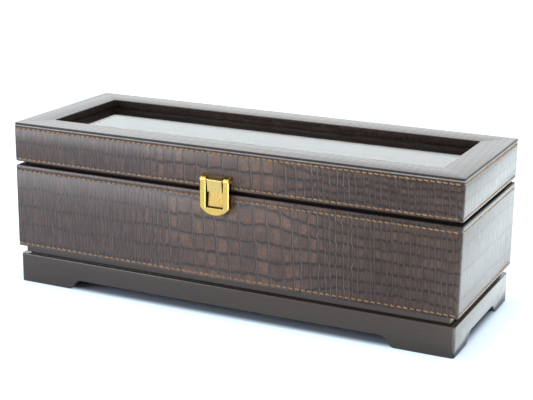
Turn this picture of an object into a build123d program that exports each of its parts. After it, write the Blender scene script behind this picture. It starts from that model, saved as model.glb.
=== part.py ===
from build123d import *

import os
from math import cos, radians, sin

# Watch box: a leather-covered case on a lacquered bracket-foot base, with a
# glass-topped lid. Millimetres, +Z up, +X to the right as seen from the front,
# which faces -Y. The origin is under the middle of the whole object.

# Leather-covered box
box_length = 325.0
box_depth = 120.0
case_height = 59.2
lid_gap = 2.7
lid_height = 27.5
leather = 0.8
case_wall = 6.0
corner_round = 1.2
case_bevel = 0.8
leather_turn_under = 12.0
top_edge_ease = 0.3

# Base
plinth_height = 20.9
plinth_inset_x = 0.9
plinth_inset_y = 0.6
plinth_thickness = 12.0
plinth_corner_round = 2.0
plinth_edge_round = 0.8
foot_width_x = 39.8
foot_width_y = 24.6
arch_height = 7.1
arch_run_x = 8.8
arch_run_y = 11.2
corner_block_leg = 12.0
corner_block_lift = 1.5
riser_height = 5.6
riser_inset_x = 5.0
riser_inset_y = 2.6

# Inside of the case
floor_board = 5.0
floor_lining_thickness = 1.5
liner = 2.5
lip_height = 6.0
slots = 6
divider_thickness = 3.0
divider_height = 42.0

# Pillows
pillow_side_gap = 2.5
pillow_end_gap = 8.4
pillow_height = 47.0
pillow_corner = 6.0
pillow_hollow_depth = 1.2
soft_gap = 0.3

# Lid
lip_clearance = 0.5
lip_top_gap = 0.3
window_rail_x = 20.3
window_rail_y = 20.0
window_round = 2.0
rail_thickness = 5.0
glass_thickness = 3.0
glass_overlap = 6.0
glass_edge_gap = 0.3
retainer_ledge = 2.5
retainer_setback = 1.0

# Butt hinges with a stop heel, in the gap at the back
hinge_end_setback = 67.5
hinge_length = 32.0
hinge_offset = 2.5
hinge_barrel_r = 2.3
hinge_barrel_relief = 0.35
hinge_knuckle = 14.0
hinge_knuckle_gap = 0.15
hinge_pin_r = 0.9
leaf_thickness = 1.1
leaf_width = 5.8
leaf_flange = 7.0
heel_reach = 5.0
stop_angle = 95.0
stop_clearance = 0.05
hinge_screw_spacing = 22.0

# Latch: a flap pinned to the lid plate, hooked under a catch on the case
latch_x = -3.4
latch_plate_width = 21.2
latch_plate = 1.0
lid_plate_setback = 0.3
lid_plate_height = 9.2
catch_plate_drop = 0.3
catch_plate_height = 8.9
tongue_width = 10.7
tongue_slope = 1.2
tongue_split = 0.2
tongue_thickness = 1.0
catch_out = 3.0
catch_tip_out = 2.2
catch_tip_thickness = 1.0
catch_hook_gap = 0.8
flap_width = 20.9
flap_window = 12.5
flap_back = 3.2
flap_thickness = 2.0
flap_crossbar = 5.0
flap_sag = 5.3
flap_edge_ease = 0.4
flap_top_setback = 1.1
latch_barrel_r = 1.95
latch_knuckle_gap = 0.4
latch_pin_r = 0.8
latch_pin_inset = 0.2
nail_spacing = 16.4

# Fasteners and fits
running_clearance = 0.05
hole_clearance = 0.05
screw_r = 0.8
screw_head_r = 1.5
screw_length = 8.0
base_screw_r = 1.6
base_screw_head_r = 3.2
base_screw_length = 10.0
base_screw_setback_x = 37.5
base_screw_setback_y = 24.7
nail_r = 0.6
nail_head_r = 1.1
nail_head_height = 0.6
nail_length = 6.0

# Levels and places worked out from the sizes above
flap_out = flap_back + flap_thickness
box_y = (flap_out - hinge_offset - heel_reach) / 2
front_y = box_y - box_depth / 2
back_y = box_y + box_depth / 2

riser_z = plinth_height
case_z = riser_z + riser_height
rim_z = case_z + case_height
lid_z = rim_z + lid_gap
top_z = lid_z + lid_height

plinth_length = box_length - 2 * plinth_inset_x
plinth_depth = box_depth - 2 * plinth_inset_y
riser_length = box_length - 2 * riser_inset_x
riser_depth = box_depth - 2 * riser_inset_y

core_length = box_length - 2 * leather
core_depth = box_depth - 2 * leather
well_length = core_length - 2 * case_wall
well_depth = core_depth - 2 * case_wall
inner_length = well_length - 2 * liner
inner_depth = well_depth - 2 * liner
board_z = case_z + leather
floor_z = board_z + floor_board
lining_z = floor_z + floor_lining_thickness
lip_z = rim_z + lip_height
slot_width = (inner_length - (slots - 1) * divider_thickness) / slots
slot_pitch = slot_width + divider_thickness

lid_wall = case_wall - lip_clearance
lid_liner = liner + lip_clearance
lid_well_length = core_length - 2 * lid_wall
lid_well_depth = core_depth - 2 * lid_wall
lid_board_z = lid_z + leather
rail_top_z = top_z - leather
rail_z = rail_top_z - rail_thickness
window_length = box_length - 2 * window_rail_x
window_depth = box_depth - 2 * window_rail_y
frame_hole_length = window_length + 2 * leather
frame_hole_depth = window_depth + 2 * leather
glass_z = rail_z - glass_thickness
glass_length = window_length + 2 * glass_overlap
glass_depth = window_depth + 2 * glass_overlap
retainer_z = glass_z - retainer_ledge
lid_liner_z = lip_z + lip_top_gap

hinge_y = back_y + hinge_offset
hinge_z = rim_z + lid_gap / 2
hinge_screw_y = back_y - leather - case_wall / 2
flange_out = hinge_offset - leaf_thickness
tilt = radians(stop_angle - 90)
heel_drop = (flange_out - stop_clearance - heel_reach * sin(tilt)) / cos(tilt)

lid_plate_z = lid_z + lid_plate_setback
lid_plate_top_z = lid_plate_z + lid_plate_height
catch_plate_top_z = rim_z - catch_plate_drop
catch_plate_z = catch_plate_top_z - catch_plate_height
flap_top_z = lid_plate_top_z - flap_top_setback
latch_pin_z = flap_top_z - latch_barrel_r
latch_pin_out = flap_out - latch_barrel_r
tongue_split_z = rim_z + lid_gap / 2
catch_z = catch_plate_z + catch_hook_gap
flap_window_z = catch_z - catch_hook_gap
flap_z = flap_window_z - flap_crossbar

latch_plane = Plane(origin=(latch_x, front_y, 0), x_dir=(1, 0, 0), z_dir=(0, -1, 0))
latch_side_plane = Plane(origin=(latch_x, front_y, 0), x_dir=(0, -1, 0), z_dir=(-1, 0, 0))
pin_plane = Plane(
    origin=(latch_x, front_y - latch_pin_out, latch_pin_z), x_dir=(0, -1, 0), z_dir=(-1, 0, 0)
)

os.makedirs("parts", exist_ok=True)


def save(piece, name):
    """Label a finished piece and write it to its own file."""
    piece.part.label = name
    export_step(piece.part, f"parts/{name}.step")


def slab(x, y, z, length, depth, height):
    """Make a plain board with its centre at x, y and its underside at z."""
    with BuildPart() as board:
        with BuildSketch(Plane.XY.offset(z)):
            with Locations((x, y)):
                Rectangle(length, depth)
        extrude(amount=height)
    return board.part


def mitre_quarter(side, length, depth):
    """Outline of one side of a mitred frame, seen from above."""
    x, y = length / 2, depth / 2
    corners = {
        "front": [(-x, -y), (x, -y), (x - y, 0), (y - x, 0)],
        "back": [(x, y), (-x, y), (y - x, 0), (x - y, 0)],
        "left": [(-x, y), (-x, -y), (y - x, 0)],
        "right": [(x, -y), (x, y), (x - y, 0)],
    }
    with BuildSketch(Plane((0, box_y, 0))) as quarter:
        with BuildLine():
            Polyline(*corners[side], close=True)
        make_face()
    return quarter.sketch


def frame_side(ring, side, length, depth):
    """Cut one mitred side out of a whole frame."""
    with BuildPart() as rail:
        add(ring)
        extrude(mitre_quarter(side, length, depth), amount=top_z, mode=Mode.INTERSECT)
    return rail


# Base: four mitred rails with an arch between the feet


def arch(plane, half_width, run):
    """Opening under a rail, with an S curve into the foot at each end."""
    with BuildSketch(plane) as opening:
        with BuildLine():
            middle = (half_width - run / 2, arch_height / 2)
            toe = TangentArc((half_width, 0), middle, tangent=(-1, 0))
            knee = TangentArc(toe @ 1, (half_width - run, arch_height), tangent=toe % 1)
            Polyline(knee @ 1, (0, arch_height), (0, 0), (half_width, 0))
        make_face()
        mirror(about=Plane.YZ)
    return opening.sketch


with BuildPart() as plinth_ring:
    with BuildSketch():
        with Locations((0, box_y)):
            RectangleRounded(plinth_length, plinth_depth, plinth_corner_round)
            Rectangle(
                plinth_length - 2 * plinth_thickness,
                plinth_depth - 2 * plinth_thickness,
                mode=Mode.SUBTRACT,
            )
    extrude(amount=plinth_height)
    fillet(plinth_ring.faces().sort_by(Axis.Z)[-1].outer_wire().edges(), plinth_edge_round)
    front_arch = arch(Plane.XZ, plinth_length / 2 - foot_width_x, arch_run_x)
    extrude(front_arch, amount=box_depth, both=True, mode=Mode.SUBTRACT)
    side_arch = arch(Plane.YZ.shift_origin((0, box_y, 0)), plinth_depth / 2 - foot_width_y, arch_run_y)
    extrude(side_arch, amount=box_length, both=True, mode=Mode.SUBTRACT)

for side in ("front", "back", "left", "right"):
    plinth_rail = frame_side(plinth_ring.part, side, plinth_length, plinth_depth)
    save(plinth_rail, f"plinth_{side}_rail")

with BuildPart() as plinth_corner_blocks:
    block_x = plinth_length / 2 - plinth_thickness
    block_y = plinth_depth / 2 - plinth_thickness
    with BuildSketch(Plane((0, box_y, corner_block_lift))):
        with BuildLine():
            Polyline(
                (block_x, block_y),
                (block_x - corner_block_leg, block_y),
                (block_x, block_y - corner_block_leg),
                close=True,
            )
        make_face()
        mirror(about=Plane.YZ)
        mirror(about=Plane.XZ)
    extrude(amount=plinth_height - corner_block_lift)
save(plinth_corner_blocks, "plinth_corner_blocks")

base_screw_x = box_length / 2 - base_screw_setback_x
base_screw_y = box_depth / 2 - base_screw_setback_y
base_screw_spots = [(x * base_screw_x, box_y + y * base_screw_y) for x in (-1, 0, 1) for y in (-1, 1)]

with BuildPart() as riser_board:
    add(slab(0, box_y, riser_z, riser_length, riser_depth, riser_height))
    with Locations(*[Plane((x, y, riser_z), z_dir=(0, 0, -1)) for x, y in base_screw_spots]):
        CounterSinkHole(
            base_screw_r + hole_clearance, base_screw_head_r + hole_clearance, counter_sink_angle=90
        )
save(riser_board, "riser_board")


def countersunk_screw(shank_r, head_r, length):
    """Screw with its flat head at the origin and its shank pointing down."""
    with BuildPart() as screw:
        with BuildSketch(Plane.XZ):
            with BuildLine():
                Polyline(
                    (0, 0), (head_r, 0), (shank_r, shank_r - head_r), (shank_r, -length), (0, -length),
                    close=True,
                )
            make_face()
        revolve(axis=Axis.Z)
    return screw.part


base_screw = countersunk_screw(base_screw_r, base_screw_head_r, base_screw_length)
with BuildPart() as base_screws:
    with Locations(*[Plane((x, y, riser_z), z_dir=(0, 0, -1)) for x, y in base_screw_spots]):
        add(base_screw)
save(base_screws, "base_screws")

# Case: boards, the leather round them, and the holes for hinges and latch

hinge_centre_x = box_length / 2 - hinge_end_setback
hinge_centres = (-hinge_centre_x, hinge_centre_x)
hinge_screw_spots = [
    (x + dx * hinge_screw_spacing / 2, hinge_screw_y) for x in hinge_centres for dx in (-1, 1)
]
catch_nail_spots = [(dx * nail_spacing / 2, catch_plate_z + catch_plate_height / 2) for dx in (-1, 1)]
lid_nail_spots = [
    (dx * nail_spacing / 2, (lid_plate_z + latch_pin_z - latch_barrel_r) / 2) for dx in (-1, 1)
]


def bore_down(spots, z, radius, depth, direction=-1):
    """Drill the current part at each spot, from level z, down or up."""
    with BuildSketch(Plane.XY.offset(z)) as circles:
        with Locations(*spots):
            Circle(radius)
    extrude(circles.sketch, amount=direction * depth, mode=Mode.SUBTRACT)


def bore_latch_nails(spots, out, depth):
    """Drill the current part for the latch nails, inwards from the given stand-off."""
    with BuildSketch(latch_plane.offset(out)) as circles:
        with Locations(*spots):
            Circle(nail_r + hole_clearance)
    extrude(circles.sketch, amount=-depth, mode=Mode.SUBTRACT)


nail_hole_depth = nail_length + hole_clearance
screw_hole_depth = screw_length + hole_clearance

with BuildPart() as case_core:
    add(slab(0, box_y, board_z, core_length, core_depth, case_height - 2 * leather))
    chamfer(case_core.faces().sort_by(Axis.Z)[0].edges(), case_bevel)

case_side_x = (core_length - case_wall) / 2
case_end_y = (core_depth - case_wall) / 2

for name, x, y, length, depth in (
    ("case_front_board", 0, box_y - case_end_y, core_length, case_wall),
    ("case_back_board", 0, box_y + case_end_y, core_length, case_wall),
    ("case_left_board", -case_side_x, box_y, case_wall, well_depth),
    ("case_right_board", case_side_x, box_y, case_wall, well_depth),
):
    with BuildPart() as case_board:
        add(case_core.part)
        add(slab(x, y, case_z, length, depth, case_height), mode=Mode.INTERSECT)
        if name == "case_back_board":
            bore_down(hinge_screw_spots, rim_z, screw_r + hole_clearance, screw_hole_depth)
        if name == "case_front_board":
            bore_latch_nails(catch_nail_spots, latch_plate, nail_hole_depth)
    save(case_board, name)

with BuildPart() as case_floor_board:
    add(slab(0, box_y, board_z, well_length, well_depth, floor_board))
    screw_reach = base_screw_length - riser_height - leather + hole_clearance
    bore_down(base_screw_spots, board_z, base_screw_r + hole_clearance, screw_reach, 1)
save(case_floor_board, "case_floor_board")

with BuildPart() as case_leather:
    add(slab(0, box_y, case_z, box_length, box_depth, case_height))
    chamfer(case_leather.faces().sort_by(Axis.Z)[0].edges(), case_bevel)
    upright_edges = [edge for edge in case_leather.edges() if edge.tangent_at(0).Z != 0]
    fillet(upright_edges, corner_round)
    add(case_core.part, mode=Mode.SUBTRACT)
    add(slab(0, box_y, rim_z - leather, well_length, well_depth, leather), mode=Mode.SUBTRACT)
    under_length = box_length - 2 * leather_turn_under
    under_depth = box_depth - 2 * leather_turn_under
    add(slab(0, box_y, case_z, under_length, under_depth, leather), mode=Mode.SUBTRACT)
    bore_down(hinge_screw_spots, rim_z, screw_r + hole_clearance, leather)
    bore_latch_nails(catch_nail_spots, latch_plate, latch_plate + leather)
save(case_leather, "case_leather")

# Inside of the case: lining, liners that rise as a lip, and dividers

with BuildPart() as floor_lining:
    add(slab(0, box_y, floor_z, inner_length, inner_depth, floor_lining_thickness))
save(floor_lining, "floor_lining")


def wall_lining(prefix, length, depth, thickness, z, height):
    """Line four walls: the front and back run the full length between the ends."""
    end_y = (depth - thickness) / 2
    side_x = (length - thickness) / 2
    short = depth - 2 * thickness
    for side, x, y, size_x, size_y in (
        ("front", 0, -end_y, length, thickness),
        ("back", 0, end_y, length, thickness),
        ("left", -side_x, 0, thickness, short),
        ("right", side_x, 0, thickness, short),
    ):
        with BuildPart() as lining:
            add(slab(x, box_y + y, z, size_x, size_y, height))
        save(lining, f"{prefix}_{side}")


wall_lining("liner", well_length, well_depth, liner, floor_z, lip_z - floor_z)

for number in range(1, slots):
    divider_x = (number - slots / 2) * slot_pitch
    with BuildPart() as divider:
        add(slab(divider_x, box_y, lining_z, divider_thickness, inner_depth, divider_height))
    save(divider, f"divider_{number}")

# Watch pillows: crowned on top, with sides that draw in between the corners

pillow_width = slot_width - 2 * pillow_side_gap
pillow_depth = inner_depth - 2 * pillow_end_gap
pillow_z = lining_z + soft_gap
pillow_shape = ((0.0, 0.90), (0.22, 0.985), (0.50, 1.0), (0.80, 0.95), (0.95, 0.72), (1.0, 0.40))


def pillow_outline(x, level, size):
    """Plan of a pillow at one level, with four drawn-in sides and round corners."""
    half_x, half_y = pillow_width * size / 2, pillow_depth * size / 2
    draw = pillow_hollow_depth * size
    with BuildSketch(Plane((x, box_y, pillow_z + level))) as outline:
        with BuildLine():
            front = ThreePointArc((-half_x, -half_y), (0, draw - half_y), (half_x, -half_y))
            right = ThreePointArc(front @ 1, (half_x - draw, 0), (half_x, half_y))
            back = ThreePointArc(right @ 1, (0, half_y - draw), (-half_x, half_y))
            ThreePointArc(back @ 1, (draw - half_x, 0), front @ 0)
        make_face()
        fillet(outline.vertices(), pillow_corner * size)
    return outline.sketch


for number in range(1, slots + 1):
    pillow_x = (number - (slots + 1) / 2) * slot_pitch
    with BuildPart() as watch_pillow:
        loft([pillow_outline(pillow_x, level * pillow_height, size) for level, size in pillow_shape])
    save(watch_pillow, f"watch_pillow_{number}")

# Lid: walls, the mitred frame round the window, leather, glass and lining

lid_board_height = rail_z - lid_board_z
lid_side_x = (core_length - lid_wall) / 2
lid_end_y = (core_depth - lid_wall) / 2

for name, x, y, length, depth in (
    ("lid_front_board", 0, box_y - lid_end_y, core_length, lid_wall),
    ("lid_back_board", 0, box_y + lid_end_y, core_length, lid_wall),
    ("lid_left_board", -lid_side_x, box_y, lid_wall, lid_well_depth),
    ("lid_right_board", lid_side_x, box_y, lid_wall, lid_well_depth),
):
    with BuildPart() as lid_board:
        add(slab(x, y, lid_board_z, length, depth, lid_board_height))
        if name == "lid_back_board":
            bore_down(hinge_screw_spots, lid_z, screw_r + hole_clearance, screw_hole_depth, 1)
        if name == "lid_front_board":
            bore_latch_nails(lid_nail_spots, latch_plate, nail_hole_depth)
    save(lid_board, name)

with BuildPart() as window_frame:
    add(slab(0, box_y, rail_z, core_length, core_depth, rail_thickness))
    with BuildSketch(Plane.XY.offset(rail_z)):
        with Locations((0, box_y)):
            RectangleRounded(frame_hole_length, frame_hole_depth, window_round + leather)
    extrude(amount=rail_thickness, mode=Mode.SUBTRACT)

for side in ("front", "back", "left", "right"):
    lid_rail = frame_side(window_frame.part, side, core_length, core_depth)
    save(lid_rail, f"lid_{side}_rail")

with BuildPart() as lid_side_leather:
    with BuildSketch(Plane.XY.offset(lid_z)):
        with Locations((0, box_y)):
            RectangleRounded(box_length, box_depth, corner_round)
    extrude(amount=rail_top_z - lid_z)
    add(slab(0, box_y, lid_board_z, core_length, core_depth, rail_top_z - lid_board_z), mode=Mode.SUBTRACT)
    add(slab(0, box_y, lid_z, lid_well_length, lid_well_depth, leather), mode=Mode.SUBTRACT)
    bore_down(hinge_screw_spots, lid_z, screw_r + hole_clearance, leather, 1)
    bore_latch_nails(lid_nail_spots, latch_plate, latch_plate + leather)
save(lid_side_leather, "lid_side_leather")

with BuildPart() as lid_top_leather:
    with BuildSketch(Plane.XY.offset(rail_top_z)):
        with Locations((0, box_y)):
            RectangleRounded(box_length, box_depth, corner_round)
            RectangleRounded(window_length, window_depth, window_round, mode=Mode.SUBTRACT)
    extrude(amount=leather)
    chamfer(lid_top_leather.faces().sort_by(Axis.Z)[-1].edges(), top_edge_ease)
save(lid_top_leather, "lid_top_leather")

with BuildPart() as window_reveal_leather:
    with BuildSketch(Plane.XY.offset(rail_z)):
        with Locations((0, box_y)):
            RectangleRounded(frame_hole_length, frame_hole_depth, window_round + leather)
            RectangleRounded(window_length, window_depth, window_round, mode=Mode.SUBTRACT)
    extrude(amount=rail_thickness)
save(window_reveal_leather, "window_reveal_leather")

with BuildPart() as lid_glass:
    add(slab(0, box_y, glass_z, glass_length, glass_depth, glass_thickness))
save(lid_glass, "lid_glass")

with BuildPart() as glass_retainer:
    add(slab(0, box_y, retainer_z, lid_well_length, lid_well_depth, rail_z - retainer_z))
    seat_length = glass_length + 2 * glass_edge_gap
    seat_depth = glass_depth + 2 * glass_edge_gap
    add(slab(0, box_y, glass_z, seat_length, seat_depth, glass_thickness), mode=Mode.SUBTRACT)
    sight_length = window_length + 2 * retainer_setback
    sight_depth = window_depth + 2 * retainer_setback
    add(slab(0, box_y, retainer_z, sight_length, sight_depth, retainer_ledge), mode=Mode.SUBTRACT)
save(glass_retainer, "glass_retainer")

wall_lining(
    "lid_liner", lid_well_length, lid_well_depth, lid_liner, lid_liner_z, retainer_z - lid_liner_z
)

# Hinges: profiles are drawn in the YZ plane round the pin, then run along X


def hinge_side(x):
    """Plane across a hinge at x, with its origin on the pin's axis."""
    return Plane(origin=(x, hinge_y, hinge_z), x_dir=(0, 1, 0), z_dir=(1, 0, 0))


def round_bar(plane, radius, length):
    """Round bar centred on the plane's origin, square to the plane."""
    with BuildPart() as bar:
        with BuildSketch(plane):
            Circle(radius)
        extrude(amount=length / 2, both=True)
    return bar.part


outer_knuckle = (hinge_length - hinge_knuckle) / 2 - hinge_knuckle_gap
outer_knuckle_x = (hinge_length - outer_knuckle) / 2
barrel_room_r = hinge_barrel_r + hinge_barrel_relief
pin_bore_r = hinge_pin_r + running_clearance
leaf_level = lid_gap / 2 - leaf_thickness
leaf_reach = hinge_offset + leaf_width

for side, hinge_x in zip(("left", "right"), hinge_centres):
    with BuildPart() as case_leaf:
        with BuildSketch(hinge_side(hinge_x)):
            with BuildLine():
                Polyline(
                    (-leaf_reach, -leaf_level),
                    (-flange_out, -leaf_level),
                    (-flange_out, -leaf_flange),
                    (-hinge_offset, -leaf_flange),
                    (-hinge_offset, -lid_gap / 2),
                    (-leaf_reach, -lid_gap / 2),
                    close=True,
                )
            make_face()
        extrude(amount=hinge_length / 2, both=True)
        room = round_bar(hinge_side(hinge_x), barrel_room_r, hinge_knuckle + 2 * hinge_knuckle_gap)
        add(room, mode=Mode.SUBTRACT)
        for end in (-1, 1):
            add(round_bar(hinge_side(hinge_x + end * outer_knuckle_x), hinge_barrel_r, outer_knuckle))
        add(round_bar(hinge_side(hinge_x), pin_bore_r, hinge_length), mode=Mode.SUBTRACT)
        own_spots = [(x, y) for x, y in hinge_screw_spots if abs(x - hinge_x) < hinge_length]
        with Locations(*[Plane((x, y, hinge_z - leaf_level)) for x, y in own_spots]):
            CounterSinkHole(screw_r + hole_clearance, screw_head_r + hole_clearance, counter_sink_angle=90)
    save(case_leaf, f"hinge_case_leaf_{side}")

    with BuildPart() as lid_leaf:
        with BuildSketch(hinge_side(hinge_x)):
            with BuildLine():
                Polyline(
                    (-leaf_reach, leaf_level),
                    (0, leaf_level),
                    (0, lid_gap / 2),
                    (-leaf_reach, lid_gap / 2),
                    close=True,
                )
            make_face()
        extrude(amount=hinge_length / 2, both=True)
        outer_room = outer_knuckle + 2 * hinge_knuckle_gap
        for end in (-1, 1):
            room_plane = hinge_side(hinge_x + end * outer_knuckle_x)
            add(round_bar(room_plane, barrel_room_r, outer_room), mode=Mode.SUBTRACT)
        add(round_bar(hinge_side(hinge_x), hinge_barrel_r, hinge_knuckle))
        with BuildSketch(hinge_side(hinge_x)):
            with Locations((heel_reach / 2, leaf_thickness / 2 - heel_drop)):
                Rectangle(heel_reach, leaf_thickness)
        extrude(amount=hinge_knuckle / 2, both=True)
        add(round_bar(hinge_side(hinge_x), pin_bore_r, hinge_length), mode=Mode.SUBTRACT)
        flipped = [Plane((x, y, hinge_z + leaf_level), z_dir=(0, 0, -1)) for x, y in own_spots]
        with Locations(*flipped):
            CounterSinkHole(screw_r + hole_clearance, screw_head_r + hole_clearance, counter_sink_angle=90)
    save(lid_leaf, f"hinge_lid_leaf_{side}")

with BuildPart() as hinge_pins:
    for hinge_x in hinge_centres:
        add(round_bar(hinge_side(hinge_x), hinge_pin_r, hinge_length))
save(hinge_pins, "hinge_pins")

hinge_screw = countersunk_screw(screw_r, screw_head_r, screw_length)
with BuildPart() as hinge_case_screws:
    with Locations(*[Plane((x, y, hinge_z - leaf_level)) for x, y in hinge_screw_spots]):
        add(hinge_screw)
save(hinge_case_screws, "hinge_case_screws")

with BuildPart() as hinge_lid_screws:
    flipped = [Plane((x, y, hinge_z + leaf_level), z_dir=(0, 0, -1)) for x, y in hinge_screw_spots]
    with Locations(*flipped):
        add(hinge_screw)
save(hinge_lid_screws, "hinge_lid_screws")

# Latch: drawn on the case front, with stand-off measured outwards from the leather


def latch_panel(width, z, height, out, thickness):
    """Flat plate on the case front, from its lower edge up and from its back out."""
    with BuildPart() as panel:
        with BuildSketch(latch_plane.offset(out)):
            with Locations((0, z + height / 2)):
                Rectangle(width, height)
        extrude(amount=thickness)
    return panel.part


def latch_profile(points, width):
    """Bar across the latch from a side profile of stand-off and level."""
    with BuildPart() as bar:
        with BuildSketch(latch_side_plane):
            with BuildLine():
                Polyline(*points, close=True)
            make_face()
        extrude(amount=width / 2, both=True)
    return bar.part


latch_bore_r = latch_pin_r + running_clearance

with BuildPart() as latch_lid_plate:
    add(latch_panel(latch_plate_width, lid_plate_z, lid_plate_height, 0, latch_plate))
    web_height = flap_top_z - latch_pin_z
    add(latch_panel(tongue_width, latch_pin_z, web_height, latch_plate, latch_pin_out - latch_plate))
    add(round_bar(pin_plane, latch_barrel_r, tongue_width))
    tongue_tip_out = flap_out - tongue_slope
    tongue_tip_z = tongue_split_z + tongue_split / 2
    tongue = latch_profile(
        [
            (flap_out, latch_pin_z),
            (flap_out - tongue_thickness, latch_pin_z),
            (tongue_tip_out - tongue_thickness, tongue_tip_z),
            (tongue_tip_out, tongue_tip_z),
        ],
        tongue_width,
    )
    add(tongue)
    add(round_bar(pin_plane, latch_bore_r, tongue_width), mode=Mode.SUBTRACT)
    bore_latch_nails(lid_nail_spots, latch_plate, latch_plate)
save(latch_lid_plate, "latch_lid_plate")

with BuildPart() as latch_catch_plate:
    add(latch_panel(latch_plate_width, catch_plate_z, catch_plate_height, 0, latch_plate))
    catch_tip_z = tongue_split_z - tongue_split / 2
    catch = latch_profile(
        [
            (latch_plate / 2, catch_z),
            (catch_out, catch_z),
            (catch_tip_out, catch_tip_z),
            (catch_tip_out - catch_tip_thickness, catch_tip_z),
            (catch_tip_out - catch_tip_thickness, catch_plate_top_z),
            (latch_plate / 2, catch_plate_top_z),
        ],
        tongue_width,
    )
    add(catch)
    bore_latch_nails(catch_nail_spots, latch_plate, latch_plate)
save(latch_catch_plate, "latch_catch_plate")

with BuildPart() as latch_flap:
    with BuildSketch(latch_plane.offset(flap_back)):
        with BuildLine():
            flap_corner = (flap_width / 2, flap_z + flap_sag)
            lower_edge = ThreePointArc((-flap_width / 2, flap_z + flap_sag), (0, flap_z), flap_corner)
            Polyline(
                flap_corner,
                (flap_width / 2, latch_pin_z),
                (-flap_width / 2, latch_pin_z),
                lower_edge @ 0,
            )
        make_face()
        with Locations((0, (flap_window_z + latch_pin_z) / 2)):
            Rectangle(flap_window, latch_pin_z - flap_window_z, mode=Mode.SUBTRACT)
    extrude(amount=flap_thickness)
    front_edges = latch_flap.faces().sort_by(Axis.Y)[0].edges()
    chamfer(front_edges.sort_by(Axis.Z)[:-2], flap_edge_ease)
    arm_width = (flap_width - flap_window) / 2
    for end in (-1, 1):
        knuckle_x = end * (flap_width - arm_width) / 2
        add(round_bar(pin_plane.offset(-knuckle_x), latch_barrel_r, arm_width - latch_knuckle_gap))
    add(round_bar(pin_plane, latch_bore_r, flap_width), mode=Mode.SUBTRACT)
save(latch_flap, "latch_flap")

with BuildPart() as latch_pin:
    add(round_bar(pin_plane, latch_pin_r, flap_width - 2 * latch_pin_inset))
save(latch_pin, "latch_pin")


def latch_nails(spots):
    """Round-headed nails through a latch plate into the board behind it."""
    with BuildPart() as nails:
        with BuildSketch(latch_plane.offset(latch_plate)) as shanks:
            with Locations(*spots):
                Circle(nail_r)
        extrude(amount=-nail_length)
        with BuildSketch(latch_plane.offset(latch_plate)) as heads:
            with Locations(*spots):
                Circle(nail_head_r)
        extrude(amount=nail_head_height)
        fillet(nails.edges().filter_by(GeomType.CIRCLE).group_by(Axis.Y)[0], nail_head_height / 2)
    return nails


save(latch_nails(catch_nail_spots), "latch_case_pins")
save(latch_nails(lid_nail_spots), "latch_lid_pins")
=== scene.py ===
from math import atan2, cos, floor, pi, radians, sin, sqrt
from random import Random

import bmesh
import bpy
from mathutils import Matrix, Vector


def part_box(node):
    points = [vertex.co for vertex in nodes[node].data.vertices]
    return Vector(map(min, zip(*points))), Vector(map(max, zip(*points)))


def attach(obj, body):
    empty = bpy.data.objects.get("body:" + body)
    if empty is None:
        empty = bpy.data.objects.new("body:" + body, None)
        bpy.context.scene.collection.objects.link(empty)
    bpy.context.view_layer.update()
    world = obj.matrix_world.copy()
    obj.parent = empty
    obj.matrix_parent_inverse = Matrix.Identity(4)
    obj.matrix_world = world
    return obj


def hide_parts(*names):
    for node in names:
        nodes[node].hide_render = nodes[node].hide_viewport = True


# A watch box: leather-covered case and glass-topped lid on a lacquered bracket base.
# Everything is in metres, in the part's own frame. Sizes are written in millimetres, times MM.

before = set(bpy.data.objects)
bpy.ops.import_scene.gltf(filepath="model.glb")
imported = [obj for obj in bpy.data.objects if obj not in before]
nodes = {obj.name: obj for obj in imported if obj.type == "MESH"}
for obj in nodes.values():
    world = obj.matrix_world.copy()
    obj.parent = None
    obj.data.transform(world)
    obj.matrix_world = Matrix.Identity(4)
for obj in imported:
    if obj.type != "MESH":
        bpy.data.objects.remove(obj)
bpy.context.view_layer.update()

MM = 0.001

case_lo, case_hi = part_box("case_leather")
side_lo, side_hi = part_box("lid_side_leather")
top_lo, top_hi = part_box("lid_top_leather")
reveal_lo, reveal_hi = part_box("window_reveal_leather")
box_middle = (case_lo + case_hi) / 2
box_length = case_hi.x - case_lo.x
box_depth = case_hi.y - case_lo.y
girth = 2 * (box_length + box_depth)

leather = 0.8 * MM
case_skin_thickness, lid_skin_thickness = 0.75 * MM, 0.7 * MM
corner_round = 1.2 * MM
window_corner = 2.0 * MM
rim_width = 6.8 * MM

# Camera, where the photograph was taken from

photo_width_px = 533
focal_px = 1329.2
camera_place = Vector((379.69, -802.56, 319.1)) * MM
camera_yaw, camera_pitch, camera_roll = radians(25.13), radians(15.91), 0.0129
sensor_width = 36

forward = Vector((
    -sin(camera_yaw) * cos(camera_pitch), cos(camera_yaw) * cos(camera_pitch), -sin(camera_pitch)
))
level_right = forward.cross(Vector((0, 0, 1))).normalized()
level_up = level_right.cross(forward)
picture_right = level_right * cos(camera_roll) + level_up * sin(camera_roll)
picture_up = level_up * cos(camera_roll) - level_right * sin(camera_roll)

camera = bpy.data.objects.new("camera", bpy.data.cameras.new("camera"))
bpy.context.scene.collection.objects.link(camera)
camera.matrix_world = Matrix.Translation(camera_place) @ Matrix(
    (picture_right, picture_up, -forward)
).transposed().to_4x4()
camera.data.sensor_width = sensor_width
camera.data.lens = focal_px / photo_width_px * sensor_width
camera.data.clip_start, camera.data.clip_end = 0.05, 20
bpy.context.scene.camera = camera
bpy.context.scene.view_settings.view_transform = "Standard"


# Node helpers

to_millimetres = (1000, 1000, 1000)


def put(tree, kind, inputs=None, **settings):
    """Add a node, set it up, and join or set its inputs."""
    node = tree.nodes.new("ShaderNode" + kind)
    for key, value in settings.items():
        setattr(node, key, value)
    for key, value in (inputs or {}).items():
        if isinstance(value, bpy.types.NodeSocket):
            tree.links.new(value, node.inputs[key])
        else:
            node.inputs[key].default_value = value
    return node


def calc(tree, operation, *values):
    """One step of arithmetic on sockets and numbers."""
    return put(tree, "Math", dict(enumerate(values)), operation=operation).outputs[0]


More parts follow.
